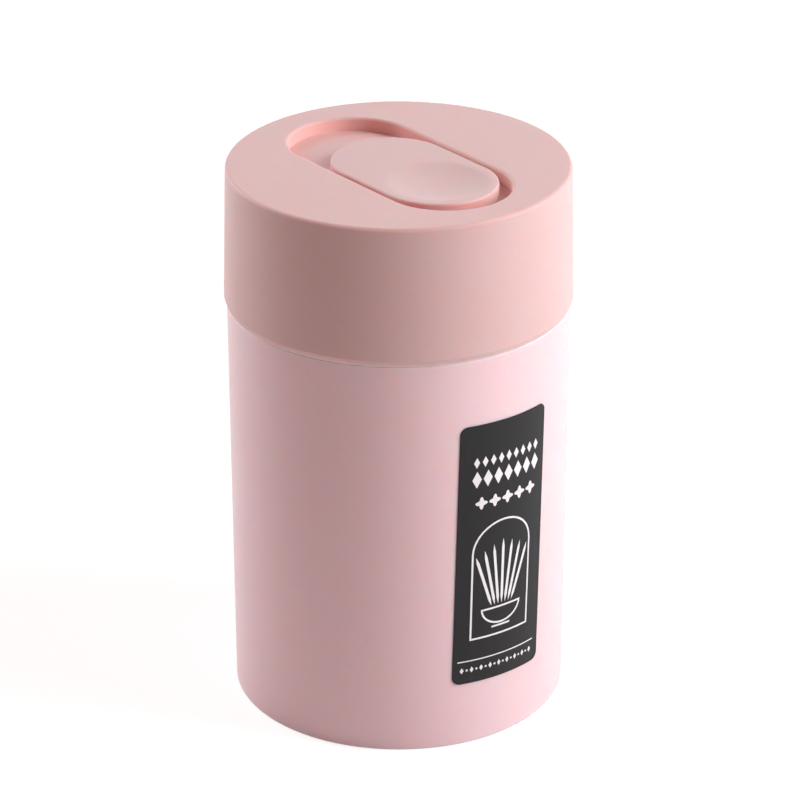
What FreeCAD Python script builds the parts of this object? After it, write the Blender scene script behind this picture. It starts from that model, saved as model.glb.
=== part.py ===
"""Toothpick dispenser: a cup with a push-on cap, and a thumb slide that opens an outlet in the cap.

Millimetres. +Z is up, the origin is the centre of the base, and -Y is the front: the side of the
outlet and of the sticker. Each piece is drawn in a frame of its own and placed on the others.
"""
import FreeCAD, Part
import math
import os
import Sketcher

doc = FreeCAD.newDocument("ToothpickDispenser")

# ---------------------------------------------------------------- driving dimensions
DIMENSIONS = {
    # cup
    "shoulder_height": 64.6,     # base to the ledge that the cap stands on
    "shoulder_radius": 25.99,    # outside of the cup at that ledge
    "foot_radius": 25.65,        # outside of the cup at the base
    "foot_round": 0.45,
    "shoulder_bevel": 0.25,
    "foot_ring_bore": 22.5,      # the underside is hollow inside this radius
    "foot_ring_height": 0.8,
    "floor_thickness": 2.0,
    "floor_radius": 23.4,        # inside of the cup at its floor
    "floor_round": 1.5,
    "mouth_radius": 23.7,        # inside of the cup at its mouth
    "neck_radius": 24.75,
    "neck_length": 11.0,
    "neck_lead": 0.4,
    "bead_radius": 25.05,        # crest of the ring on the neck that grips the cap
    "bead_crest": 0.5,
    "bead_foot": 1.4,
    "bead_height": 5.5,          # above the shoulder
    "gate_radius": 1.6,          # sunk spot under the floor where the mould was filled
    "gate_depth": 0.4,
    # sticker
    "label_width": 16.1,
    "label_height": 43.2,
    "label_corner": 1.2,
    "label_thickness": 0.15,
    "label_middle": 32.1,        # height of its middle above the base
    "label_lean": 1.2,           # degrees that it was stuck on askew
    "label_shift": 0.5,          # how far to the left of the middle it was stuck on
    # cap
    "cap_height": 21.5,
    "rim_radius": 26.41,         # widest place, over the bevel at the rim
    "rim_bevel_height": 0.88,
    "rim_bevel_depth": 0.36,
    "crown_radius": 25.87,       # outside of the cap just under its top
    "crown_round": 0.6,
    "bore_rim": 25.15,           # inside of the skirt at the rim
    "bore_crown": 24.98,         # inside of the skirt under the top plate
    "bore_lead": 0.4,
    "top_plate": 1.8,
    "recess_length": 41.8,       # round-ended recess that the slide runs in
    "recess_width": 19.4,
    "recess_depth": 2.2,
    "recess_edge_round": 0.5,
    "tray_wall": 1.5,
    "tray_floor": 1.5,
    "outlet_radius": 4.0,
    "outlet_offset": 13.7,       # from the axis to the middle of the outlet, forwards
    "outlet_bevel": 0.3,
    "slot_width": 5.0,
    "slot_front": 7.5,           # front end of the slot, ahead of the axis
    "slot_back": 10.1,            # back end of the slot, behind the axis
    "slot_corner": 0.3,
    "rail_gap": 6.65,            # from the axis to the inside of each guide rail
    "rail_width": 1.0,
    "rail_height": 1.3,
    "rail_front": 8.3,
    "rail_back": 11.0,
    # inner guide
    "plug_radius": 23.35,
    "plug_length": 4.4,          # how far the guide reaches down into the mouth of the cup
    "guide_flange": 1.2,
    "guide_wall": 1.2,
    "collar_radius": 24.9,
    "collar_bore": 23.7,
    "mouth_clearance": 0.1,      # flange over the top of the neck
    "funnel_radius": 22.6,
    "funnel_rise": 7.2,
    "throat_radius": 3.8,
    # slide
    "slide_length": 29.2,
    "slide_width": 18.0,
    "slide_thickness": 2.05,
    "slide_edge_round": 0.35,
    "slide_clearance": 0.1,      # under the slide, and again under the tray floor
    "slide_front": 18.3,         # front end of the slide, ahead of the axis, when shut
    "dish_radius": 7.5,
    "dish_depth": 1.05,
    "dish_rim_round": 3.0,
    "leg_spread": 2.35,          # from the middle to the outside of each leg
    "leg_thickness": 1.3,
    "leg_front": 7.4,            # front of the legs, ahead of the axis, when shut
    "leg_length": 7.9,
    "hook_reach": 0.55,
    "hook_height": 0.8,
    # keeper
    "keeper_width": 13.0,
    "keeper_length": 9.5,
    "keeper_thickness": 1.2,
    "keeper_corner": 1.0,
    "leg_clearance": 0.05,
}

sheet = doc.addObject("Spreadsheet::Sheet", "dim")
for row, (alias, size) in enumerate(DIMENSIONS.items(), start=1):
    sheet.set(f"A{row}", alias)
    sheet.set(f"B{row}", str(size))
    sheet.setAlias(f"B{row}", alias)
doc.recompute()

# Heights in the row frame and sizes that several pieces share, as formulas on the sheet
CAP_BASE = "dim.shoulder_height"
PLATE_UNDERSIDE = "(dim.cap_height - dim.top_plate)"
TRAY_TOP = "(dim.cap_height - dim.recess_depth)"
TRAY_UNDERSIDE = "(dim.cap_height - dim.recess_depth - dim.tray_floor)"
KEEPER_DROP = "(dim.tray_floor + 2 * dim.slide_clearance)"
SLIDE_RADIUS = "(dim.slide_width / 2)"
DISH_SPHERE = "((dim.dish_radius ^ 2 + dim.dish_depth ^ 2) / (2 * dim.dish_depth))"
ORIGIN_POINT = (-1, 1)
BIG = "60"            # beyond every piece
PAST = "1"            # how far a cut goes past the far side
OVERLAP = "0.2"       # how far one feature sinks into the next, so that they join
TOLERANCE = 1e-3


# ---------------------------------------------------------------- sketching
def size_of(formula):
    return float(sheet.evalExpression(str(formula)))


def new_body(name, height="0", forward="0"):
    body = doc.addObject("PartDesign::Body", name)
    body.Label = name
    body.setExpression("Placement.Base.y", f"-({forward})")
    body.setExpression("Placement.Base.z", height)
    return body


def new_sketch(body, name, role, lift="0"):
    sketch = body.newObject("Sketcher::SketchObject", name)
    plane = next(f for f in body.Origin.OriginFeatures if f.Role == role)
    sketch.AttachmentSupport = [(plane, "")]
    sketch.MapMode = "FlatFace"
    sketch.setExpression("AttachmentOffset.Base.z", lift)
    return sketch


def drive(sketch, name, formula):
    """Bind a named constraint to the sheet."""
    sketch.setExpression(f"Constraints.{name}", formula)


def pin(sketch, curve, end, x, y):
    """Hold one end of a curve at a place given from the sketch's origin."""
    for kind, formula in (("DistanceX", x), ("DistanceY", y)):
        made = Sketcher.Constraint(kind, *ORIGIN_POINT, curve, end, size_of(formula))
        name = f"{kind[-1].lower()}_{curve}_{end}"
        sketch.renameConstraint(sketch.addConstraint(made), name)
        drive(sketch, name, formula)


def add_outline(sketch, corners):
    """A closed outline of straight lines through corners given as pairs of formulas."""
    points = [FreeCAD.Vector(size_of(x), size_of(y), 0) for x, y in corners]
    following = points[1:] + points[:1]
    lines = [sketch.addGeometry(Part.LineSegment(a, b)) for a, b in zip(points, following)]
    for line, after in zip(lines, lines[1:] + lines[:1]):
        sketch.addConstraint(Sketcher.Constraint("Coincident", line, 2, after, 1))
    for line, (x, y) in zip(lines, corners):
        pin(sketch, line, 1, x, y)


def add_rectangle(sketch, left, bottom, right, top):
    add_outline(sketch, [(left, bottom), (right, bottom), (right, top), (left, top)])


def add_circle(sketch, radius, x="0", y="0"):
    centre = FreeCAD.Vector(size_of(x), size_of(y), 0)
    circle = sketch.addGeometry(Part.Circle(centre, FreeCAD.Vector(0, 0, 1), size_of(radius)))
    pin(sketch, circle, 3, x, y)
    made = Sketcher.Constraint("Radius", circle, size_of(radius))
    sketch.renameConstraint(sketch.addConstraint(made), f"radius_{circle}")
    drive(sketch, f"radius_{circle}", radius)


def add_stadium(sketch, length, width, middle="0"):
    """A round-ended slot shape whose long way is the sketch's y axis."""
    radius = size_of(f"{width} / 2")
    reach = size_of(f"({length} - {width}) / 2")
    y0 = size_of(middle)
    up = FreeCAD.Vector(0, 0, 1)
    back_centre = FreeCAD.Vector(0, y0 + reach, 0)
    front_centre = FreeCAD.Vector(0, y0 - reach, 0)
    back = sketch.addGeometry(Part.ArcOfCircle(Part.Circle(back_centre, up, radius), 0, math.pi))
    left = sketch.addGeometry(Part.LineSegment(back_centre - FreeCAD.Vector(radius, 0, 0),
                                               front_centre - FreeCAD.Vector(radius, 0, 0)))
    front = sketch.addGeometry(Part.ArcOfCircle(Part.Circle(front_centre, up, radius), math.pi, 2 * math.pi))
    right = sketch.addGeometry(Part.LineSegment(front_centre + FreeCAD.Vector(radius, 0, 0),
                                                back_centre + FreeCAD.Vector(radius, 0, 0)))
    for curve, after in ((back, left), (left, front), (front, right), (right, back)):
        sketch.addConstraint(Sketcher.Constraint("Tangent", curve, 2, after, 1))
    pin(sketch, back, 3, "0", f"{middle} + ({length} - {width}) / 2")
    pin(sketch, front, 3, "0", f"{middle} - ({length} - {width}) / 2")
    made = Sketcher.Constraint("Radius", back, radius)
    sketch.renameConstraint(sketch.addConstraint(made), "end_radius")
    drive(sketch, "end_radius", f"{width} / 2")


# ---------------------------------------------------------------- features
def turned(body, kind, sketch, name):
    """Turn a profile once round the sketch's vertical axis, to add or to cut."""
    feature = body.newObject(f"PartDesign::{kind}", name)
    feature.Profile = sketch
    feature.ReferenceAxis = (sketch, ["V_Axis"])
    feature.Angle = 360
    return feature


def padded(body, sketch, name, length, downwards=False):
    feature = body.newObject("PartDesign::Pad", name)
    feature.Profile = sketch
    feature.setExpression("Length", length)
    feature.Reversed = downwards
    return feature


def pocketed(body, sketch, name, depth):
    """Cut downwards from the sketch's plane."""
    feature = body.newObject("PartDesign::Pocket", name)
    feature.Profile = sketch
    feature.setExpression("Length", depth)
    feature.Reversed = False
    return feature


def lofted(body, kind, name, lower, upper):
    feature = body.newObject(f"PartDesign::{kind}", name)
    feature.Profile = lower
    feature.Sections = [upper]
    feature.Ruled = True
    return feature


def dressed(body, kind, name, amount, picks):
    """Round or bevel the edges of the body's last feature that picks(edge) is true for."""
    doc.recompute()
    base = body.Tip
    names = [f"Edge{i}" for i, edge in enumerate(base.Shape.Edges, start=1) if picks(edge)]
    if not names:
        raise RuntimeError(f"{name} finds no edge")
    feature = body.newObject(f"PartDesign::{kind}", name)
    feature.Base = (base, names)
    feature.setExpression("Radius" if kind == "Fillet" else "Size", amount)
    return feature


def ring_at(radius, height):
    """Picks the full circles of this radius at this height, both from the sheet."""
    def picks(edge):
        if edge.Degenerated or not isinstance(edge.Curve, Part.Circle):
            return False
        same_radius = abs(edge.Curve.Radius - size_of(radius)) < TOLERANCE
        return same_radius and abs(edge.CenterOfMass.z - size_of(height)) < TOLERANCE
    return picks


def level_at(height):
    """Picks the edges that lie flat at this height."""
    def picks(edge):
        box = edge.BoundBox
        return box.ZLength < TOLERANCE and abs(box.ZMax - size_of(height)) < TOLERANCE
    return picks


def upright(edge):
    return edge.BoundBox.XLength < TOLERANCE and edge.BoundBox.YLength < TOLERANCE


def must_cut(feature):
    """Stops the build if a cut took nothing away."""
    doc.recompute()
    before = feature.BaseFeature.Shape.Volume
    if feature.Shape.Volume > before - TOLERANCE:
        raise RuntimeError(f"{feature.Name} cuts nothing")
    return feature


# ---------------------------------------------------------------- cup
def make_cup():
    """One moulded cup: thick drafted wall, stepped neck with a grip bead, hollow underside."""
    body = new_body("cup")
    floor_top = "(dim.foot_ring_height + dim.floor_thickness)"
    mouth_height = "(dim.shoulder_height + dim.neck_length)"

    profile = new_sketch(body, "cup_profile", "XZ_Plane")
    add_outline(profile, [
        ("dim.foot_ring_bore", "0"),
        ("dim.foot_radius", "0"),
        ("dim.shoulder_radius", "dim.shoulder_height"),
        ("dim.neck_radius", "dim.shoulder_height"),
        ("dim.neck_radius", mouth_height),
        ("dim.mouth_radius", mouth_height),
        ("dim.floor_radius", floor_top),
        ("0", floor_top),
        ("0", "dim.foot_ring_height"),
        ("dim.foot_ring_bore", "dim.foot_ring_height"),
    ])
    turned(body, "Revolution", profile, "cup_wall")

    bead = new_sketch(body, "bead_section", "XZ_Plane")
    bead_middle = "(dim.shoulder_height + dim.bead_height)"
    add_outline(bead, [
        (f"dim.neck_radius - {OVERLAP}", f"{bead_middle} - dim.bead_foot / 2"),
        ("dim.neck_radius", f"{bead_middle} - dim.bead_foot / 2"),
        ("dim.bead_radius", f"{bead_middle} - dim.bead_crest / 2"),
        ("dim.bead_radius", f"{bead_middle} + dim.bead_crest / 2"),
        ("dim.neck_radius", f"{bead_middle} + dim.bead_foot / 2"),
        (f"dim.neck_radius - {OVERLAP}", f"{bead_middle} + dim.bead_foot / 2"),
    ])
    turned(body, "Revolution", bead, "grip_bead")

    shoulder = ring_at("dim.shoulder_radius", "dim.shoulder_height")
    dressed(body, "Fillet", "foot_edge", "dim.foot_round", ring_at("dim.foot_radius", "0"))
    dressed(body, "Chamfer", "shoulder_edge", "dim.shoulder_bevel", shoulder)
    dressed(body, "Fillet", "inside_corner", "dim.floor_round", ring_at("dim.floor_radius", floor_top))
    dressed(body, "Chamfer", "neck_lead_in", "dim.neck_lead", ring_at("dim.neck_radius", mouth_height))

    gate = new_sketch(body, "gate_outline", "XY_Plane", "dim.foot_ring_height + dim.gate_depth")
    add_circle(gate, "dim.gate_radius")
    must_cut(pocketed(body, gate, "gate_spot", "dim.gate_depth"))
    return body


# ---------------------------------------------------------------- sticker
def make_label():
    """A thin sticker with round corners, wrapped on the cup's drafted front."""
    body = new_body("label")

    face = new_sketch(body, "label_face", "XZ_Plane", "dim.neck_radius - dim.label_width / 2")
    face.setExpression("AttachmentOffset.Base.x", "-dim.label_shift")
    face.setExpression("AttachmentOffset.Base.y", "dim.label_middle")
    face.setExpression("AttachmentOffset.Rotation.Angle", "-dim.label_lean * 1 deg")
    add_rectangle(face, "-dim.label_width / 2", "-dim.label_height / 2",
                  "dim.label_width / 2", "dim.label_height / 2")
    padded(body, face, "label_block", "dim.label_width")

    def runs_outwards(edge):
        box = edge.BoundBox
        return box.XLength < TOLERANCE and box.ZLength < TOLERANCE

    dressed(body, "Fillet", "label_corners", "dim.label_corner", runs_outwards)

    def cone_side(offset):
        return [(f"dim.foot_radius + {offset}", "0"),
                (f"dim.shoulder_radius + {offset}", "dim.shoulder_height")]

    inside = new_sketch(body, "cup_side_profile", "XZ_Plane")
    add_outline(inside, [("0", "0")] + cone_side("0") + [("0", "dim.shoulder_height")])
    must_cut(turned(body, "Groove", inside, "back_to_the_cup"))

    outside = new_sketch(body, "label_front_profile", "XZ_Plane")
    low, high = cone_side("dim.label_thickness")
    add_outline(outside, [low, (BIG, "0"), (BIG, "dim.shoulder_height"), high])
    must_cut(turned(body, "Groove", outside, "front_face"))
    return body


# ---------------------------------------------------------------- cap
def make_cap_shell():
    """The outer cap: skirt with a bevelled rim, rounded crown, sunk tray with outlet, slot and rails."""
    body = new_body("cap_shell", height=CAP_BASE)

    profile = new_sketch(body, "cap_profile", "XZ_Plane")
    add_outline(profile, [
        ("dim.bore_rim", "0"),
        ("dim.rim_radius - dim.rim_bevel_depth", "0"),
        ("dim.rim_radius", "dim.rim_bevel_height"),
        ("dim.crown_radius", "dim.cap_height"),
        ("0", "dim.cap_height"),
        ("0", PLATE_UNDERSIDE),
        ("dim.bore_crown", PLATE_UNDERSIDE),
    ])
    turned(body, "Revolution", profile, "skirt_and_top")
    dressed(body, "Fillet", "crown_edge", "dim.crown_round", ring_at("dim.crown_radius", "dim.cap_height"))
    dressed(body, "Chamfer", "bore_lead_in", "dim.bore_lead", ring_at("dim.bore_rim", "0"))

    tray = new_sketch(body, "tray_outline", "XY_Plane", PLATE_UNDERSIDE)
    add_stadium(tray, "(dim.recess_length + 2 * dim.tray_wall)", "(dim.recess_width + 2 * dim.tray_wall)")
    padded(body, tray, "tray_under_the_top", f"{PLATE_UNDERSIDE} - {TRAY_UNDERSIDE}", downwards=True)

    rails = new_sketch(body, "rail_outlines", "XY_Plane", TRAY_UNDERSIDE)
    outer = "(dim.rail_gap + dim.rail_width)"
    add_rectangle(rails, "dim.rail_gap", "-dim.rail_front", outer, "dim.rail_back")
    add_rectangle(rails, f"-{outer}", "-dim.rail_front", "-dim.rail_gap", "dim.rail_back")
    padded(body, rails, "guide_rails", "dim.rail_height", downwards=True)

    recess = new_sketch(body, "recess_outline", "XY_Plane", "dim.cap_height")
    add_stadium(recess, "dim.recess_length", "dim.recess_width")
    must_cut(pocketed(body, recess, "slide_recess", "dim.recess_depth"))

    def on_recess_rim(edge):
        narrow = edge.BoundBox.XLength < size_of("dim.recess_width") + TOLERANCE
        return narrow and level_at("dim.cap_height")(edge)

    dressed(body, "Fillet", "recess_edge", "dim.recess_edge_round", on_recess_rim)

    outlet = new_sketch(body, "outlet_outline", "XY_Plane", TRAY_TOP)
    add_circle(outlet, "dim.outlet_radius", "0", "-dim.outlet_offset")
    must_cut(pocketed(body, outlet, "outlet_hole", f"dim.tray_floor + {PAST}"))
    dressed(body, "Chamfer", "outlet_edge", "dim.outlet_bevel", ring_at("dim.outlet_radius", TRAY_TOP))

    slot = new_sketch(body, "slot_outline", "XY_Plane", TRAY_TOP)
    add_rectangle(slot, "-dim.slot_width / 2", "-dim.slot_front", "dim.slot_width / 2", "dim.slot_back")
    must_cut(pocketed(body, slot, "slide_slot", f"dim.tray_floor + {PAST}"))

    def on_slot_corner(edge):
        beside = abs(abs(edge.BoundBox.Center.x) - size_of("dim.slot_width / 2")) < TOLERANCE
        return beside and upright(edge)

    dressed(body, "Fillet", "slot_corners", "dim.slot_corner", on_slot_corner)
    return body


# ---------------------------------------------------------------- inner guide
def make_cap_liner():
    """The insert pressed up inside the cap: a slanted funnel that leads the picks to the outlet."""
    neck_top = "(dim.neck_length + dim.mouth_clearance)"
    plug_bottom = f"({neck_top} - dim.plug_length)"
    body = new_body("cap_liner", height=CAP_BASE)

    profile = new_sketch(body, "liner_profile", "XZ_Plane")
    add_outline(profile, [
        ("0", plug_bottom),
        ("dim.plug_radius", plug_bottom),
        ("dim.plug_radius", neck_top),
        ("dim.collar_radius", neck_top),
        ("dim.collar_radius", PLATE_UNDERSIDE),
        ("dim.collar_bore", PLATE_UNDERSIDE),
        ("dim.collar_bore", f"{neck_top} + dim.guide_flange"),
        ("dim.funnel_radius", f"{neck_top} + dim.guide_flange"),
        ("dim.funnel_radius", f"{plug_bottom} + dim.guide_wall"),
        ("0", f"{plug_bottom} + dim.guide_wall"),
    ])
    turned(body, "Revolution", profile, "plug_and_collar")

    def funnel(kind, name, lift, wide, narrow):
        lower = new_sketch(body, f"{name}_wide_end", "XY_Plane", f"{plug_bottom} + {lift}")
        add_circle(lower, wide)
        upper = new_sketch(body, f"{name}_narrow_end", "XY_Plane",
                           f"{plug_bottom} + dim.funnel_rise + {lift}")
        add_circle(upper, narrow, "0", "-dim.outlet_offset")
        doc.recompute()
        return lofted(body, kind, name, lower, upper)

    throat_outside = "(dim.throat_radius + dim.guide_wall)"
    rooted = f"dim.funnel_radius + {OVERLAP}"
    funnel("AdditiveLoft", "funnel_outside", "dim.guide_wall", rooted, throat_outside)

    tube = new_sketch(body, "throat_outline", "XY_Plane", TRAY_UNDERSIDE)
    add_circle(tube, throat_outside, "0", "-dim.outlet_offset")
    padded(body, tube, "throat_tube", f"{TRAY_UNDERSIDE} - {plug_bottom} - dim.funnel_rise", downwards=True)

    must_cut(funnel("SubtractiveLoft", "funnel_inside", "0", "dim.funnel_radius", "dim.throat_radius"))

    bore = new_sketch(body, "throat_bore", "XY_Plane", TRAY_UNDERSIDE)
    add_circle(bore, "dim.throat_radius", "0", "-dim.outlet_offset")
    must_cut(pocketed(body, bore, "throat_hole",
                      f"{TRAY_UNDERSIDE} - {plug_bottom} - dim.funnel_rise + {OVERLAP}"))
    return body


# ---------------------------------------------------------------- slide
def make_slider():
    """The thumb slide: a round-ended plate with a shallow dish, and two hooked legs under it.

    Its own origin is on the plate's underside, under the middle of the dish.
    """
    body = new_body("slider", height=f"{CAP_BASE} + {TRAY_TOP} + dim.slide_clearance",
                    forward=f"dim.slide_front - {SLIDE_RADIUS}")
    leg_front = f"(dim.slide_front - {SLIDE_RADIUS} - dim.leg_front)"
    leg_back = f"({leg_front} + dim.leg_length)"
    leg_drop = f"({KEEPER_DROP} + dim.keeper_thickness + dim.hook_height)"

    plate = new_sketch(body, "plate_outline", "XY_Plane")
    add_stadium(plate, "dim.slide_length", "dim.slide_width", "(dim.slide_length - dim.slide_width) / 2")
    padded(body, plate, "plate", "dim.slide_thickness")

    legs = new_sketch(body, "leg_outlines", "XY_Plane")
    inner = "(dim.leg_spread - dim.leg_thickness)"
    add_rectangle(legs, inner, leg_front, "dim.leg_spread", leg_back)
    add_rectangle(legs, "-dim.leg_spread", leg_front, f"-{inner}", leg_back)
    padded(body, legs, "legs", leg_drop, downwards=True)

    hooks = new_sketch(body, "hook_outlines", "XZ_Plane", f"-{leg_back}")
    hook_top = f"(dim.hook_height - {leg_drop})"
    root = f"(dim.leg_spread - {OVERLAP})"
    tip = "(dim.leg_spread + dim.hook_reach)"
    for side in ("", "-"):
        add_outline(hooks, [
            (f"{side}{root}", hook_top),
            (f"{side}{tip}", hook_top),
            (f"{side}{tip}", f"{hook_top} - dim.hook_height / 3"),
            (f"{side}{root}", f"-{leg_drop}"),
        ])
    padded(body, hooks, "hooks", "dim.leg_length")

    dressed(body, "Fillet", "plate_edge", "dim.slide_edge_round", level_at("dim.slide_thickness"))

    dish = new_sketch(body, "dish_profile", "XZ_Plane")
    cut_radius = f"(dim.dish_radius + {PAST})"
    bottom = "(dim.slide_thickness - dim.dish_depth)"
    centre = f"({bottom} + {DISH_SPHERE})"
    rise = f"({centre} - sqrt({DISH_SPHERE} ^ 2 - {cut_radius} ^ 2))"
    sphere = Part.Circle(FreeCAD.Vector(0, size_of(centre), 0), FreeCAD.Vector(0, 0, 1), size_of(DISH_SPHERE))
    low = FreeCAD.Vector(0, size_of(bottom), 0)
    high = FreeCAD.Vector(size_of(cut_radius), size_of(rise), 0)
    corner = FreeCAD.Vector(0, size_of(rise), 0)
    arc = dish.addGeometry(Part.ArcOfCircle(sphere, sphere.parameter(low), sphere.parameter(high)))
    lid = dish.addGeometry(Part.LineSegment(high, corner))
    axle = dish.addGeometry(Part.LineSegment(corner, low))
    for curve, after in ((arc, lid), (lid, axle), (axle, arc)):
        dish.addConstraint(Sketcher.Constraint("Coincident", curve, 2, after, 1))
    pin(dish, arc, 1, "0", bottom)
    pin(dish, arc, 3, "0", centre)
    pin(dish, lid, 2, "0", rise)
    dish.addConstraint(Sketcher.Constraint("Horizontal", lid))
    must_cut(turned(body, "Groove", dish, "thumb_dish"))
    rim = ring_at("dim.dish_radius", "dim.slide_thickness")
    dressed(body, "Fillet", "dish_rim", "dim.dish_rim_round", rim)
    return body


# ---------------------------------------------------------------- keeper
def make_slider_keeper():
    """The plate that snaps over the hooked legs and holds the slide down.

    Its own origin is on its top face, midway between the legs.
    """
    leg_middle = "(dim.leg_front - dim.leg_length / 2)"
    body = new_body("slider_keeper", height=f"{CAP_BASE} + {TRAY_UNDERSIDE} - dim.slide_clearance",
                    forward=leg_middle)
    half_width, half_length = "dim.keeper_width / 2", "dim.keeper_length / 2"

    plate = new_sketch(body, "keeper_outline", "XY_Plane")
    add_rectangle(plate, f"-{half_width}", f"-{half_length}", half_width, half_length)
    padded(body, plate, "keeper_plate", "dim.keeper_thickness", downwards=True)
    dressed(body, "Fillet", "keeper_corners", "dim.keeper_corner", upright)

    window = new_sketch(body, "leg_window", "XY_Plane")
    across = "(dim.leg_spread + dim.leg_clearance)"
    along = "(dim.leg_length / 2 + dim.leg_clearance)"
    add_rectangle(window, f"-{across}", f"-{along}", across, along)
    must_cut(pocketed(body, window, "leg_window_cut", f"dim.keeper_thickness + {PAST}"))
    return body


# ---------------------------------------------------------------- build, check, write
pieces = [make_cup(), make_label(), make_cap_shell(), make_cap_liner(), make_slider(), make_slider_keeper()]
doc.recompute()

for item in doc.Objects:
    if "Invalid" in item.State or "Error" in item.State:
        raise RuntimeError(f"{item.Name} did not build: {item.State}")
for piece in pieces:
    if piece.Shape.isNull() or not piece.Shape.isValid() or len(piece.Shape.Solids) != 1:
        raise RuntimeError(f"{piece.Label} is not one sound solid")

os.makedirs("parts", exist_ok=True)
for piece in pieces:
    piece.Shape.exportStep(f"parts/{piece.Label}.step")
    box = piece.Shape.BoundBox
    print(f"{piece.Label}: {piece.Shape.Volume:.0f} mm3, x {box.XMin:.2f} to {box.XMax:.2f}, "
          f"y {box.YMin:.2f} to {box.YMax:.2f}, z {box.ZMin:.2f} to {box.ZMax:.2f}")
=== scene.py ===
import math
import bmesh
import bpy
from mathutils import Matrix, Vector


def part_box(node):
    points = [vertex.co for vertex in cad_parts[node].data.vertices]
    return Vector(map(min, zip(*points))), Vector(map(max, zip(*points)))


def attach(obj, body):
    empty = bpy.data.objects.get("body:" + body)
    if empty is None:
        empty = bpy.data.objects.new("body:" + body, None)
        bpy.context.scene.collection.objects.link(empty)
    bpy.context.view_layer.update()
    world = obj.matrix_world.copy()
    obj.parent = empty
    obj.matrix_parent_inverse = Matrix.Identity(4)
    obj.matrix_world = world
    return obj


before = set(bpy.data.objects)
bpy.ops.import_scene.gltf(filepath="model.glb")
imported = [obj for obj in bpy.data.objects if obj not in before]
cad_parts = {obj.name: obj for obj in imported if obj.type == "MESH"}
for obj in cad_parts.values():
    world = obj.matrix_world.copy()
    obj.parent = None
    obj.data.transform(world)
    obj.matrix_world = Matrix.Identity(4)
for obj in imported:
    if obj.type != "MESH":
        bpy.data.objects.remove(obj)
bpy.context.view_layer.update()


# ------------------------------------------------------------------ cup
# The pot that holds the picks: one piece of pale pink polypropylene, moulded in a spark-eroded
# steel tool. The tool leaves a fine satin grain, and the plastic a faint cloudiness where it
# flowed up the wall. The light goes a little way into it.

CUP_PINK = (0.828, 0.653, 0.697)
CUP_PINK_DEEP = (0.800, 0.624, 0.665)
GRAIN_SIZE = 0.00022        # a pit of the spark-eroded skin
PEEL_SIZE = 0.0016          # slow unevenness under it
FLOW_SIZE = 0.021           # clouds in the colour
PLASTIC_IOR = 1.49
SOAK = (1.0, 0.35, 0.25)    # how far red, green and blue light go into the plastic, by comparison
RUB_GLOSS = 0.07
EDGE_LIGHT_SHARE = 1.8            # how strongly painted light pales a thin edge
MICRON = 1e-6


def new_group(name, inputs, outputs):
    """A shader node group with named inputs (name, kind, default) and outputs (name, kind)."""
    group = bpy.data.node_groups.new(name, "ShaderNodeTree")
    for label, kind, value in inputs:
        socket = group.interface.new_socket(label, in_out="INPUT", socket_type=kind)
        socket.default_value = value
    for label, kind in outputs:
        group.interface.new_socket(label, in_out="OUTPUT", socket_type=kind)
    return group, group.nodes.new("NodeGroupInput").outputs, group.nodes.new("NodeGroupOutput").inputs


def add_math(tree, operation, first, second=None, clamp=False):
    """A Math node on two sockets or numbers; gives its output."""
    made = tree.nodes.new("ShaderNodeMath")
    made.operation = operation
    made.use_clamp = clamp
    for slot, value in ((0, first), (1, second)):
        if isinstance(value, bpy.types.NodeSocket):
            tree.links.new(value, made.inputs[slot])
        elif value is not None:
            made.inputs[slot].default_value = value
    return made.outputs[0]


def add_mix(tree, factor, first, second):
    """A colour Mix node on sockets; gives its output."""
    made = tree.nodes.new("ShaderNodeMix")
    made.data_type = "RGBA"
    for slot, value in (("Factor_Float", factor), ("A_Color", first), ("B_Color", second)):
        socket = next(s for s in made.inputs if s.identifier == slot)
        if isinstance(value, bpy.types.NodeSocket):
            tree.links.new(value, socket)
        else:
            socket.default_value = value
    return next(s for s in made.outputs if s.identifier == "Result_Color")


def add_noise(tree, size, detail, stretch=(1, 1, 1), roughness=0.5):
    """Noise of a real feature size in metres on the piece's own coordinates; gives its value."""
    place = tree.nodes.new("ShaderNodeTexCoord")
    mapping = tree.nodes.new("ShaderNodeMapping")
    mapping.inputs["Scale"].default_value = stretch
    tree.links.new(place.outputs["Object"], mapping.inputs["Vector"])
    noise = tree.nodes.new("ShaderNodeTexNoise")
    noise.inputs["Scale"].default_value = 1 / size
    noise.inputs["Detail"].default_value = detail
    noise.inputs["Roughness"].default_value = roughness
    tree.links.new(mapping.outputs["Vector"], noise.inputs["Vector"])
    return noise.outputs["Fac"]


def make_moulded_skin():
    """Colour clouds, gloss variation and relief of a spark-eroded moulding."""
    group, given, out = new_group(
        "moulded_skin",
        [("Colour", "NodeSocketColor", (1, 1, 1, 1)), ("Deep Colour", "NodeSocketColor", (1, 1, 1, 1)),
         ("Roughness", "NodeSocketFloat", 0.5), ("Gloss Spread", "NodeSocketFloat", 0.06),
         ("Peel", "NodeSocketFloat", 0.5)],
        [("Colour", "NodeSocketColor"), ("Roughness", "NodeSocketFloat"), ("Height", "NodeSocketFloat")])
    grain = add_noise(group, GRAIN_SIZE, 2, roughness=0.65)
    peel = add_noise(group, PEEL_SIZE, 2)
    flow = add_noise(group, FLOW_SIZE, 3, stretch=(1, 1, 0.3))
    group.links.new(add_mix(group, flow, given["Colour"], given["Deep Colour"]), out["Colour"])

    slow, fine = (add_math(group, "SUBTRACT", noise, 0.5) for noise in (peel, grain))
    uneven = add_math(group, "ADD", slow, fine)
    spread = add_math(group, "MULTIPLY", uneven, given["Gloss Spread"])
    group.links.new(add_math(group, "ADD", given["Roughness"], spread), out["Roughness"])

    waves = add_math(group, "MULTIPLY", peel, given["Peel"])
    group.links.new(add_math(group, "ADD", grain, waves), out["Height"])
    return group


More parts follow.
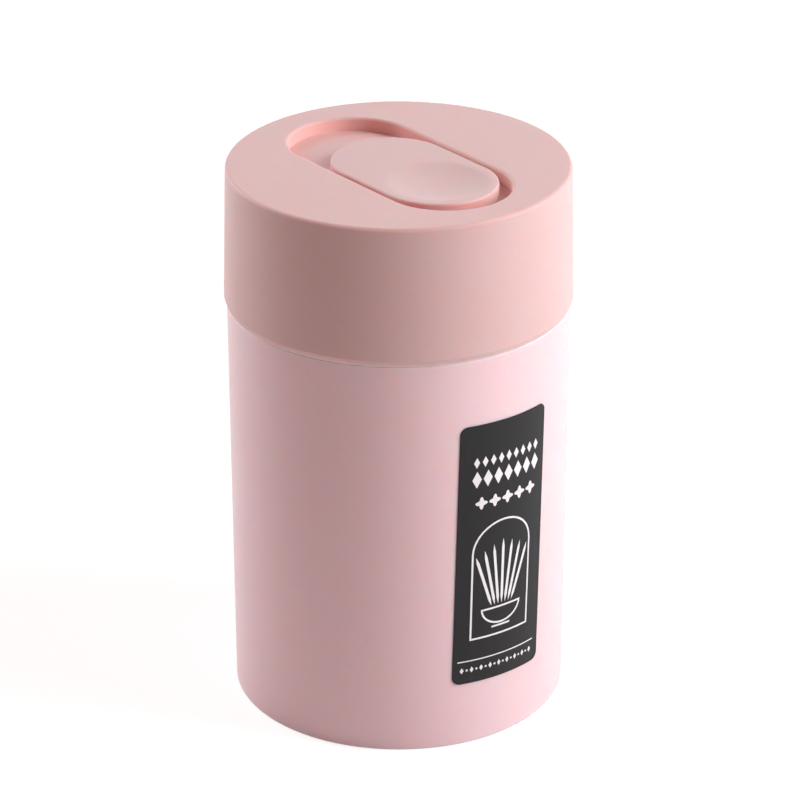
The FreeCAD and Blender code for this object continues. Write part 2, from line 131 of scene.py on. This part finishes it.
def make_ring_wear_and_light():
    """Mask of a round edge, both where hands and cloths rub it smooth and where light is painted on it: 1 on
    the edge's circle, 0 further off.
    """
    group, given, out = new_group(
        "ring_wear_and_light",
        [("Radius", "NodeSocketFloat", 0.02), ("Level", "NodeSocketFloat", 0.0),
         ("Reach", "NodeSocketFloat", 0.001)],
        [("Mask", "NodeSocketFloat")])
    place = group.nodes.new("ShaderNodeTexCoord")
    split = group.nodes.new("ShaderNodeSeparateXYZ")
    group.links.new(place.outputs["Object"], split.inputs["Vector"])
    squares = [add_math(group, "POWER", split.outputs[axis], 2) for axis in ("X", "Y")]
    across = add_math(group, "SQRT", add_math(group, "ADD", *squares))
    beside = add_math(group, "POWER", add_math(group, "SUBTRACT", across, given["Radius"]), 2)
    above = add_math(group, "POWER", add_math(group, "SUBTRACT", split.outputs["Z"], given["Level"]), 2)
    away = add_math(group, "SQRT", add_math(group, "ADD", beside, above))
    near = add_math(group, "SUBTRACT", 1.0, add_math(group, "DIVIDE", away, given["Reach"]), clamp=True)
    broken = add_math(group, "MULTIPLY", near, add_noise(group, PEEL_SIZE, 3))
    group.links.new(broken, out["Mask"])
    return group


MOULDED_SKIN = make_moulded_skin()
RING_WEAR_AND_LIGHT = make_ring_wear_and_light()


def place_group(tree, group, **values):
    """Puts a group in a material with its own values; gives the node."""
    made = tree.nodes.new("ShaderNodeGroup")
    made.node_tree = group
    for name, value in values.items():
        made.inputs[name.replace("_", " ")].default_value = value
    return made


def moulded_plastic(name, colour, deep_colour, roughness, relief, soften, gloss=0.22, rubbed=None):
    """Satin moulded polypropylene. rubbed is (radius, level, reach) of an edge that shines a little."""
    material = bpy.data.materials.new(name)
    material.use_nodes = True
    tree = material.node_tree
    shader = tree.nodes["Principled BSDF"]
    skin = place_group(tree, MOULDED_SKIN, Colour=(*colour, 1), Deep_Colour=(*deep_colour, 1),
                       Roughness=roughness)
    colour_out, roughness_out = skin.outputs["Colour"], skin.outputs["Roughness"]
    if rubbed:
        edge = place_group(tree, RING_WEAR_AND_LIGHT, Radius=rubbed[0], Level=rubbed[1], Reach=rubbed[2])
        smoother = add_math(tree, "MULTIPLY", edge.outputs["Mask"], RUB_GLOSS)
        roughness_out = add_math(tree, "SUBTRACT", roughness_out, smoother)
    tree.links.new(colour_out, shader.inputs["Base Color"])
    tree.links.new(roughness_out, shader.inputs["Roughness"])
    bump = tree.nodes.new("ShaderNodeBump")
    bump.inputs["Strength"].default_value = 0.5
    bump.inputs["Distance"].default_value = relief
    tree.links.new(skin.outputs["Height"], bump.inputs["Height"])
    tree.links.new(bump.outputs["Normal"], shader.inputs["Normal"])
    shader.inputs["IOR"].default_value = PLASTIC_IOR
    shader.inputs["Specular IOR Level"].default_value = gloss
    shader.inputs["Subsurface Weight"].default_value = 1.0
    shader.inputs["Subsurface Radius"].default_value = SOAK
    shader.inputs["Subsurface Scale"].default_value = soften
    return material


def paint_edge_light(material, colour, **ring):
    """Paints light into a moulded plastic's colour along a round edge, standing in for light that comes
    through where it is thin.
    """
    tree = material.node_tree
    shader = tree.nodes["Principled BSDF"]
    plain_colour = shader.inputs["Base Color"].links[0].from_socket
    edge = place_group(tree, RING_WEAR_AND_LIGHT, **ring)
    mask = add_math(tree, "MULTIPLY", edge.outputs["Mask"], EDGE_LIGHT_SHARE, clamp=True)
    tree.links.new(add_mix(tree, mask, plain_colour, (*colour, 1)), shader.inputs["Base Color"])


def finish_node(name, material):
    """Gives a node that stays as it is its material."""
    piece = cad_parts[name]
    piece.data.materials.clear()
    piece.data.materials.append(material)
    return piece


CUP_FOOT_RADIUS = 0.02565
SHOULDER_LEVEL, SHOULDER_RADIUS = 0.0646, 0.02599
SHOULDER_BEVEL_RADIUS = SHOULDER_RADIUS - 0.00013
# Painted light: the pale pink laid on the cup's shoulder bevel just under the cap's rim, where shade falls.
CUP_EDGE_PAINTED_LIGHT = (0.93, 0.82, 0.85)
cup_skin = moulded_plastic("cup_polypropylene", CUP_PINK, CUP_PINK_DEEP, roughness=0.46,
                           relief=9 * MICRON, soften=0.001, gloss=0.18, rubbed=(CUP_FOOT_RADIUS, 0.0, 0.0011))
paint_edge_light(cup_skin, CUP_EDGE_PAINTED_LIGHT, Radius=SHOULDER_BEVEL_RADIUS, Level=SHOULDER_LEVEL, Reach=0.0005)
finish_node("cup", cup_skin)


# ------------------------------------------------------------------ sticker
# A thin near-black vinyl sticker with round corners, put on by hand a little askew. Its print is
# one white ink: rows of lozenges and flowers, an arch with a bowl and a fan of picks, a rule and dots.

LABEL_MIDDLE = 0.0321
LABEL_SHIFT = 0.0005        # to the left of the middle
LABEL_LEAN = math.radians(-1.2)
LABEL_THICKNESS = 0.00015
INK_LIFT = 0.000012
INK_THICKNESS = 0.000018
INK_FOOT_RADIUS = CUP_FOOT_RADIUS + LABEL_THICKNESS + INK_LIFT
WALL_SLOPE = (SHOULDER_RADIUS - CUP_FOOT_RADIUS) / SHOULDER_LEVEL
LABEL_BLACK = (0.014, 0.014, 0.016)
INK_WHITE = (0.80, 0.81, 0.84)
FILM_SIZE = 0.0005          # orange peel of the vinyl
SCRATCH_SIZE = 0.0011
PINHOLE_SIZE = 0.00014      # gaps in the ink
MM = 0.001


def vinyl():
    """Satin vinyl: an even dark film with a faint orange peel and fine handling scratches."""
    material = bpy.data.materials.new("label_vinyl")
    material.use_nodes = True
    tree = material.node_tree
    shader = tree.nodes["Principled BSDF"]
    shader.inputs["Specular IOR Level"].default_value = 0.25
    film = add_noise(tree, FILM_SIZE, 2)
    scratch = add_noise(tree, SCRATCH_SIZE, 4, stretch=(1, 1, 0.06), roughness=0.7)
    worn = tree.nodes.new("ShaderNodeMapRange")
    worn.inputs["From Min"].default_value = 0.60
    worn.inputs["From Max"].default_value = 0.72
    tree.links.new(scratch, worn.inputs["Value"])
    lighter = tuple(1.35 * c for c in LABEL_BLACK)
    faded = add_mix(tree, worn.outputs["Result"], (*LABEL_BLACK, 1), (*lighter, 1))
    tree.links.new(faded, shader.inputs["Base Color"])
    uneven = add_math(tree, "MULTIPLY", film, 0.16)
    tree.links.new(add_math(tree, "ADD", uneven, 0.34), shader.inputs["Roughness"])
    bump = tree.nodes.new("ShaderNodeBump")
    bump.inputs["Strength"].default_value = 0.4
    bump.inputs["Distance"].default_value = 6 * MICRON
    tree.links.new(film, bump.inputs["Height"])
    tree.links.new(bump.outputs["Normal"], shader.inputs["Normal"])
    return material


def ink():
    """Screen-printed white, a little thinner at its pinholes."""
    material = bpy.data.materials.new("label_ink")
    material.use_nodes = True
    tree = material.node_tree
    shader = tree.nodes["Principled BSDF"]
    cover = add_noise(tree, PINHOLE_SIZE, 2, roughness=0.6)
    thin = tree.nodes.new("ShaderNodeMapRange")
    thin.inputs["From Min"].default_value = 0.56
    thin.inputs["From Max"].default_value = 0.74
    tree.links.new(cover, thin.inputs["Value"])
    greyer = tuple(0.72 * c for c in INK_WHITE)
    patchy = add_mix(tree, thin.outputs["Result"], (*INK_WHITE, 1), (*greyer, 1))
    tree.links.new(patchy, shader.inputs["Base Color"])
    uneven = add_math(tree, "MULTIPLY", cover, 0.2)
    tree.links.new(add_math(tree, "ADD", uneven, 0.4), shader.inputs["Roughness"])
    return material


def flat_mark(bm, segments, x, y, width, height, turn=0.0):
    """A filled many-sided mark, in millimetres from the sticker's middle; gives its corners."""
    before = set(bm.verts)
    bmesh.ops.create_circle(bm, cap_ends=True, segments=segments, radius=0.5)
    fresh = [v for v in bm.verts if v not in before]
    bmesh.ops.scale(bm, vec=(width, height, 1), verts=fresh)
    bmesh.ops.rotate(bm, cent=(0, 0, 0), matrix=Matrix.Rotation(turn, 3, "Z"), verts=fresh)
    bmesh.ops.translate(bm, vec=(x, y, 0), verts=fresh)
    return fresh


def bar(bm, x, y, width, height):
    """A filled upright rectangle about a point, in millimetres."""
    before = set(bm.verts)
    bmesh.ops.create_grid(bm, x_segments=1, y_segments=1, size=0.5)
    fresh = [v for v in bm.verts if v not in before]
    bmesh.ops.scale(bm, vec=(width, height, 1), verts=fresh)
    bmesh.ops.translate(bm, vec=(x, y, 0), verts=fresh)


def outline_only(bm, corners, line):
    """Turns a filled mark into a line that runs inside its edge."""
    face = next(iter(set(corners[0].link_faces)))
    bmesh.ops.inset_region(bm, faces=[face], thickness=line, use_boundary=True, use_even_offset=True)
    bmesh.ops.delete(bm, geom=[face], context="FACES_ONLY")


def toothpick(bm, foot_x, foot_y, lean, length, width):
    """A pick drawn solid: a slim body that comes to a point at both ends."""
    corners = flat_mark(bm, 6, 0, 0, 1, 1)
    for v in corners:
        on_tip = abs(v.co.x) < 0.1
        v.co.y = math.copysign(length * (0.5 if on_tip else 0.38), v.co.y)
        v.co.x = 0 if on_tip else math.copysign(width / 2, v.co.x)
    bmesh.ops.translate(bm, vec=(0, length / 2, 0), verts=corners)
    bmesh.ops.rotate(bm, cent=(0, 0, 0), matrix=Matrix.Rotation(lean, 3, "Z"), verts=corners)
    bmesh.ops.translate(bm, vec=(foot_x, foot_y, 0), verts=corners)


def wrap_print(bm, name, material):
    """Lays a flat print on the sticker's curved face, gives the ink its thickness, and fixes it."""
    bmesh.ops.rotate(bm, cent=(0, 0, 0), matrix=Matrix.Rotation(LABEL_LEAN, 3, "Z"), verts=bm.verts)
    for strip in range(-16, 17):
        everything = list(bm.verts) + list(bm.edges) + list(bm.faces)
        bmesh.ops.bisect_plane(bm, geom=everything, plane_co=(strip / 2, 0, 0), plane_no=(1, 0, 0))
    raised = bmesh.ops.extrude_face_region(bm, geom=list(bm.faces), use_keep_orig=True)
    top = {v for v in raised["geom"] if isinstance(v, bmesh.types.BMVert)}
    for v in bm.verts:
        height = LABEL_MIDDLE + v.co.y * MM
        radius = INK_FOOT_RADIUS + WALL_SLOPE * height + (INK_THICKNESS if v in top else 0)
        angle = math.asin((v.co.x * MM - LABEL_SHIFT) / radius)
        v.co = (radius * math.sin(angle), -radius * math.cos(angle), height)
    bmesh.ops.recalc_face_normals(bm, faces=bm.faces)
    mesh = bpy.data.meshes.new(name)
    bm.to_mesh(mesh)
    bm.free()
    piece = bpy.data.objects.new(name, mesh)
    bpy.context.scene.collection.objects.link(piece)
    mesh.materials.append(material)
    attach(piece, "cup")
    return piece


finish_node("label", vinyl())
white_ink = ink()

LINE = 0.3                  # these and all the sizes of the print are in millimetres
ROWS_X = 0.3
SMALL_PITCH, SMALL_LEVEL, SMALL_SIZE = 1.42, 15.5, (0.98, 1.75)
LARGE_PITCH, LARGE_LEVEL, LARGE_SIZE = 1.86, 12.7, (1.55, 2.75)
FLOWER_PITCH, FLOWER_LEVEL, PETAL_LONG, PETAL_SHORT = 2.35, 8.7, 2.1, 0.8
rows = bmesh.new()
for column in range(-4, 5):
    flat_mark(rows, 4, ROWS_X + SMALL_PITCH * column, SMALL_LEVEL, *SMALL_SIZE)
for column in range(-3, 4):
    flat_mark(rows, 4, ROWS_X + LARGE_PITCH * column, LARGE_LEVEL, *LARGE_SIZE)
for column in range(-2, 3):
    flower = ROWS_X + FLOWER_PITCH * column
    flat_mark(rows, 12, flower, FLOWER_LEVEL, PETAL_SHORT, PETAL_LONG)
    flat_mark(rows, 12, flower, FLOWER_LEVEL, PETAL_LONG, PETAL_SHORT)
wrap_print(rows, "label_print_rows", white_ink)

PICTURE_X = -0.2
ARCH_WIDTH, ARCH_SPRING, ARCH_FOOT = 11.0, 0.2, -14.3
BOWL_WIDTH, BOWL_RIM, BOWL_DEPTH = 7.4, -9.4, 3.0
STAND_WIDTH, GAP = 3.4, 0.35
PICK_PITCH, PICK_LEAN, PICK_WIDTH = 0.62, -6.2, 0.46
PICK_LENGTH, PICK_SHORTENING = 10.9, 0.55
picture = bmesh.new()
arch = flat_mark(picture, 40, PICTURE_X, ARCH_SPRING, ARCH_WIDTH, ARCH_WIDTH * 0.92)
for v in arch:
    if v.co.y < ARCH_SPRING - 1e-4:
        v.co.y = ARCH_FOOT
outline_only(picture, arch, LINE)
bowl = flat_mark(picture, 32, PICTURE_X, BOWL_RIM, BOWL_WIDTH, 2 * BOWL_DEPTH)
for v in bowl:
    v.co.y = min(v.co.y, BOWL_RIM)
bmesh.ops.remove_doubles(picture, verts=bowl, dist=1e-5)
outline_only(picture, [v for v in bowl if v.is_valid], LINE)
bar(picture, PICTURE_X, BOWL_RIM - BOWL_DEPTH - GAP, STAND_WIDTH, LINE)
for place in range(-3, 4):
    toothpick(picture, PICTURE_X + PICK_PITCH * place, BOWL_RIM + GAP, math.radians(PICK_LEAN * place),
              PICK_LENGTH - PICK_SHORTENING * abs(place), PICK_WIDTH)
wrap_print(picture, "label_print_picture", white_ink)

FOOT_X, RULE_LEVEL, RULE_LENGTH, RULE_WIDTH = -0.3, -17.75, 14.2, 0.19
DOT_PITCH, DOT_LEVEL, DOT_SIZE, STUD_SIZE = 0.8, -19.3, (0.36, 0.36), (0.62, 1.0)
foot_line = bmesh.new()
bar(foot_line, FOOT_X, RULE_LEVEL, RULE_LENGTH, RULE_WIDTH)
for column in range(-8, 9):
    if column % 2:
        flat_mark(foot_line, 12, FOOT_X + DOT_PITCH * column, DOT_LEVEL, *DOT_SIZE)
    else:
        flat_mark(foot_line, 4, FOOT_X + DOT_PITCH * column, DOT_LEVEL, *STUD_SIZE)
wrap_print(foot_line, "label_print_foot", white_ink)


# ------------------------------------------------------------------ cap
# The outer cap and its thumb slide are moulded in one dusty pink polypropylene, a little drier
# than the cup. The crown's round edge is where a hand pulls the cap off, and has a soft shine.
# The walls of the recess carry a painted red glow in their colour, standing in for light that gets
# into the gap round the slide and passes through the plastic many times.

CAP_PINK = (0.693, 0.517, 0.521)
CAP_PINK_DEEP = (0.664, 0.490, 0.494)
# Painted glow: the red that the recess walls are tinted towards, standing in for light passing through the
# plastic in the gap.
PAINTED_GAP_GLOW = (0.95, 0.52, 0.48)
CROWN_ROUND = 0.0006
CROWN_RADIUS = 0.02587
RECESS_RADIUS, RECESS_HALF_STRAIGHT = 0.0097, 0.0112
SKIRT_EDGE_RADIUS = 0.02598
# Painted light: the pale pink laid on the lower edge of the cap's skirt.
CAP_EDGE_PAINTED_LIGHT = (0.84, 0.68, 0.68)
CAP_PAINTED_GLOW_SHARE = 0.55        # how strongly the painted glow reddens the walls of the recess


def make_gap_depth():
    """Mask of what lies low at a round-ended outline about the Y axis: 1 on its wall, 0 further in."""
    group, given, out = new_group(
        "gap_depth",
        [("Middle", "NodeSocketFloat", 0.0), ("Half Straight", "NodeSocketFloat", 0.01),
         ("Radius", "NodeSocketFloat", 0.01), ("Reach", "NodeSocketFloat", 0.001),
         ("Level", "NodeSocketFloat", 0.0), ("Fade", "NodeSocketFloat", 0.0008)],
        [("Mask", "NodeSocketFloat")])
    place = group.nodes.new("ShaderNodeTexCoord")
    split = group.nodes.new("ShaderNodeSeparateXYZ")
    group.links.new(place.outputs["Object"], split.inputs["Vector"])
    along = add_math(group, "ABSOLUTE", add_math(group, "SUBTRACT", split.outputs["Y"], given["Middle"]))
    past_end = add_math(group, "MAXIMUM", add_math(group, "SUBTRACT", along, given["Half Straight"]), 0.0)
    away = add_math(group, "SQRT", add_math(
        group, "ADD", add_math(group, "POWER", split.outputs["X"], 2), add_math(group, "POWER", past_end, 2)))
    short = add_math(group, "ABSOLUTE", add_math(group, "SUBTRACT", given["Radius"], away))
    near = add_math(group, "SUBTRACT", 1.0, add_math(group, "DIVIDE", short, given["Reach"]), clamp=True)
    below = add_math(group, "SUBTRACT", given["Level"], split.outputs["Z"])
    low = add_math(group, "DIVIDE", below, given["Fade"], clamp=True)
    group.links.new(add_math(group, "MULTIPLY", near, low), out["Mask"])
    return group


GAP_DEPTH = make_gap_depth()


def paint_gap_glow(material, share, **outline):
    """Paints a red glow of light through the plastic into a moulded plastic's colour along an outline, up to
    a share of it.
    """
    tree = material.node_tree
    shader = tree.nodes["Principled BSDF"]
    plain_colour = shader.inputs["Base Color"].links[0].from_socket
    depth = place_group(tree, GAP_DEPTH, **outline)
    mask = add_math(tree, "MULTIPLY", depth.outputs["Mask"], share)
    tree.links.new(add_mix(tree, mask, plain_colour, (*PAINTED_GAP_GLOW, 1)), shader.inputs["Base Color"])


cap_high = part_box("cap_shell")[1]
crown_edge = (CROWN_RADIUS - CROWN_ROUND * 0.3, cap_high.z - CROWN_ROUND * 0.3, 0.0014)
cap_skin = moulded_plastic("cap_polypropylene", CAP_PINK, CAP_PINK_DEEP, roughness=0.52,
                           relief=11 * MICRON, soften=0.001, rubbed=crown_edge)
paint_edge_light(cap_skin, CAP_EDGE_PAINTED_LIGHT, Radius=SKIRT_EDGE_RADIUS, Level=SHOULDER_LEVEL, Reach=0.0004)
# Painted light: the recess walls are reddened in the base colour, in place of light bouncing through the
# plastic.
paint_gap_glow(cap_skin, CAP_PAINTED_GLOW_SHARE, Middle=0.0, Half_Straight=RECESS_HALF_STRAIGHT, Radius=RECESS_RADIUS,
           Reach=0.0045, Level=cap_high.z, Fade=0.0008)
finish_node("cap_shell", cap_skin)


# ------------------------------------------------------------------ inner guide
# The insert pressed up inside the cap, in uncoloured polypropylene: milky, glossier than the
# outside, because its tool is polished so that the picks slide down the funnel.

NATURAL = (0.83, 0.78, 0.76)
NATURAL_DEEP = (0.79, 0.73, 0.71)
guide_skin = moulded_plastic("guide_polypropylene", NATURAL, NATURAL_DEEP, roughness=0.36,
                             relief=5 * MICRON, soften=0.003)
finish_node("cap_liner", guide_skin)


# ------------------------------------------------------------------ thumb slide
# A round-ended plate that lies flush in the cap's tray, with a shallow dish for the thumb. It is
# moulded in the cap's polypropylene, and its side walls carry a little of the gap's painted red glow.

slide_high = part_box("slider")[1]
SLIDE_PAINTED_GLOW_SHARE = 0.35
SLIDE_EDGE_DEPTH = 0.00008  # the painted glow starts this far below the plate's top
SLIDE_PINK = (0.672, 0.518, 0.525)
SLIDE_PINK_DEEP = (0.643, 0.491, 0.498)
SLIDE_RADIUS, SLIDE_HALF_STRAIGHT, SLIDE_MIDDLE = 0.009, 0.0056, -0.0037
slide_skin = moulded_plastic("slide_polypropylene", SLIDE_PINK, SLIDE_PINK_DEEP, roughness=0.50,
                             relief=10 * MICRON, soften=0.001)
# Painted light: the slide's side walls are reddened in the base colour, in place of light bouncing through
# the plastic in the gap.
paint_gap_glow(slide_skin, SLIDE_PAINTED_GLOW_SHARE, Middle=SLIDE_MIDDLE, Half_Straight=SLIDE_HALF_STRAIGHT,
           Radius=SLIDE_RADIUS, Reach=0.0004, Level=slide_high.z - SLIDE_EDGE_DEPTH, Fade=0.0003)
finish_node("slider", slide_skin)


# ------------------------------------------------------------------ keeper
# The plate under the tray that snaps over the slide's two hooked legs. It is never seen from
# outside, and is moulded in the guide's uncoloured polypropylene.

finish_node("slider_keeper", guide_skin)


# ------------------------------------------------------------------ studio
# A white sweep, three soft boxes on the right, one of them close by, and a tall one far round on
# the left. The camera stands over half a metre off, left of the sticker, and looks down.

CAMERA_TURN = math.radians(-38.6)
CAMERA_RISE = 0.450
CAMERA_REACH = 0.569972
CAMERA_PIVOT = Vector((0, 0, 0.043))
LENS = 166.93
AIM_UP = 0.00395
AIM_RIGHT = 0.00019

back = Vector((math.sin(CAMERA_TURN) * math.cos(CAMERA_RISE), -math.cos(CAMERA_TURN) * math.cos(CAMERA_RISE),
               math.sin(CAMERA_RISE)))
to_right = Vector((math.cos(CAMERA_TURN), math.sin(CAMERA_TURN), 0))
eye = CAMERA_PIVOT + back * CAMERA_REACH
aim = CAMERA_PIVOT + Vector((0, 0, AIM_UP)) + to_right * AIM_RIGHT
camera = bpy.data.objects.new("camera", bpy.data.cameras.new("camera"))
camera.data.lens = LENS
camera.data.clip_start = 0.01
camera.location = eye
camera.rotation_mode = "QUATERNION"
camera.rotation_quaternion = (aim - eye).to_track_quat("-Z", "Y")
bpy.context.scene.collection.objects.link(camera)
bpy.context.scene.camera = camera

LIGHT_TARGET = Vector((0, 0, 0.045))


def soft_box(name, turn, rise, reach, width, height, power):
    """A rectangular soft box. turn is degrees to the right of the camera, seen from the object."""
    data = bpy.data.lights.new(name, "AREA")
    data.shape = "RECTANGLE"
    data.size, data.size_y = width, height
    data.energy = power
    around = CAMERA_TURN + math.radians(turn)
    up = math.radians(rise)
    away = Vector((math.sin(around) * math.cos(up), -math.cos(around) * math.cos(up), math.sin(up)))
    lamp = bpy.data.objects.new(name, data)
    lamp.location = LIGHT_TARGET + away * reach
    lamp.rotation_mode = "QUATERNION"
    lamp.rotation_quaternion = (-away).to_track_quat("-Z", "Y")
    bpy.context.scene.collection.objects.link(lamp)
    return lamp


soft_box("box_right", turn=72, rise=10, reach=1.0, width=0.36, height=0.55, power=2.4)
soft_box("box_right_high", turn=76, rise=42, reach=1.0, width=0.36, height=0.50, power=2.9)
soft_box("box_right_near", turn=80, rise=30, reach=0.5, width=0.22, height=0.30, power=1.40)
soft_box("box_left", turn=-125, rise=25, reach=1.0, width=0.36, height=1.0, power=8.0)

AMBIENT = 0.286             # what the room gives from all round
AMBIENT_TINT = (1.0, 0.61, 0.54, 1)
WHITE = (1, 1, 1, 1)


def white_to_camera(tree):
    """1 where the camera looks straight, by reflection or through something clear; else 0."""
    path = tree.nodes.new("ShaderNodeLightPath")
    seen = add_math(tree, "MAXIMUM", path.outputs["Is Camera Ray"], path.outputs["Is Glossy Ray"])
    return add_math(tree, "MAXIMUM", seen, path.outputs["Is Transmission Ray"])


world = bpy.data.worlds.new("studio")
world.use_nodes = True
bpy.context.scene.world = world
sky = world.node_tree.nodes["Background"]
seen = white_to_camera(world.node_tree)
level = add_math(world.node_tree, "ADD", add_math(world.node_tree, "MULTIPLY", seen, 1 - AMBIENT), AMBIENT)
world.node_tree.links.new(add_mix(world.node_tree, seen, AMBIENT_TINT, WHITE), sky.inputs["Color"])
world.node_tree.links.new(level, sky.inputs["Strength"])

FLOOR_SIDE = 6.0
FLOOR_PALE = (0.82, 0.82, 0.82, 1)
FLOOR_GLOW = 0.80
FLOOR_SHADE = (0.30, 0.30, 0.30, 1)
sweep = bmesh.new()
bmesh.ops.create_grid(sweep, x_segments=1, y_segments=1, size=FLOOR_SIDE / 2)
sweep_mesh = bpy.data.meshes.new("floor")
sweep.to_mesh(sweep_mesh)
sweep.free()
floor = bpy.data.objects.new("floor", sweep_mesh)
bpy.context.scene.collection.objects.link(floor)

floor_paint = bpy.data.materials.new("floor_white")
floor_paint.use_nodes = True
tree = floor_paint.node_tree
plain = tree.nodes["Principled BSDF"]
plain.inputs["Base Color"].default_value = FLOOR_PALE
plain.inputs["Roughness"].default_value = 0.9
plain.inputs["Specular IOR Level"].default_value = 0.0
glow = tree.nodes.new("ShaderNodeEmission")
glow.inputs["Strength"].default_value = FLOOR_GLOW
shade = tree.nodes.new("ShaderNodeBsdfDiffuse")
shade.inputs["Color"].default_value = FLOOR_SHADE
lit = tree.nodes.new("ShaderNodeAddShader")
tree.links.new(glow.outputs["Emission"], lit.inputs[0])
tree.links.new(shade.outputs["BSDF"], lit.inputs[1])
chosen = tree.nodes.new("ShaderNodeMixShader")
tree.links.new(white_to_camera(tree), chosen.inputs["Fac"])
tree.links.new(plain.outputs["BSDF"], chosen.inputs[1])
tree.links.new(lit.outputs["Shader"], chosen.inputs[2])
tree.links.new(chosen.outputs["Shader"], tree.nodes["Material Output"].inputs["Surface"])
sweep_mesh.materials.append(floor_paint)

bpy.context.scene.view_settings.view_transform = "Standard"
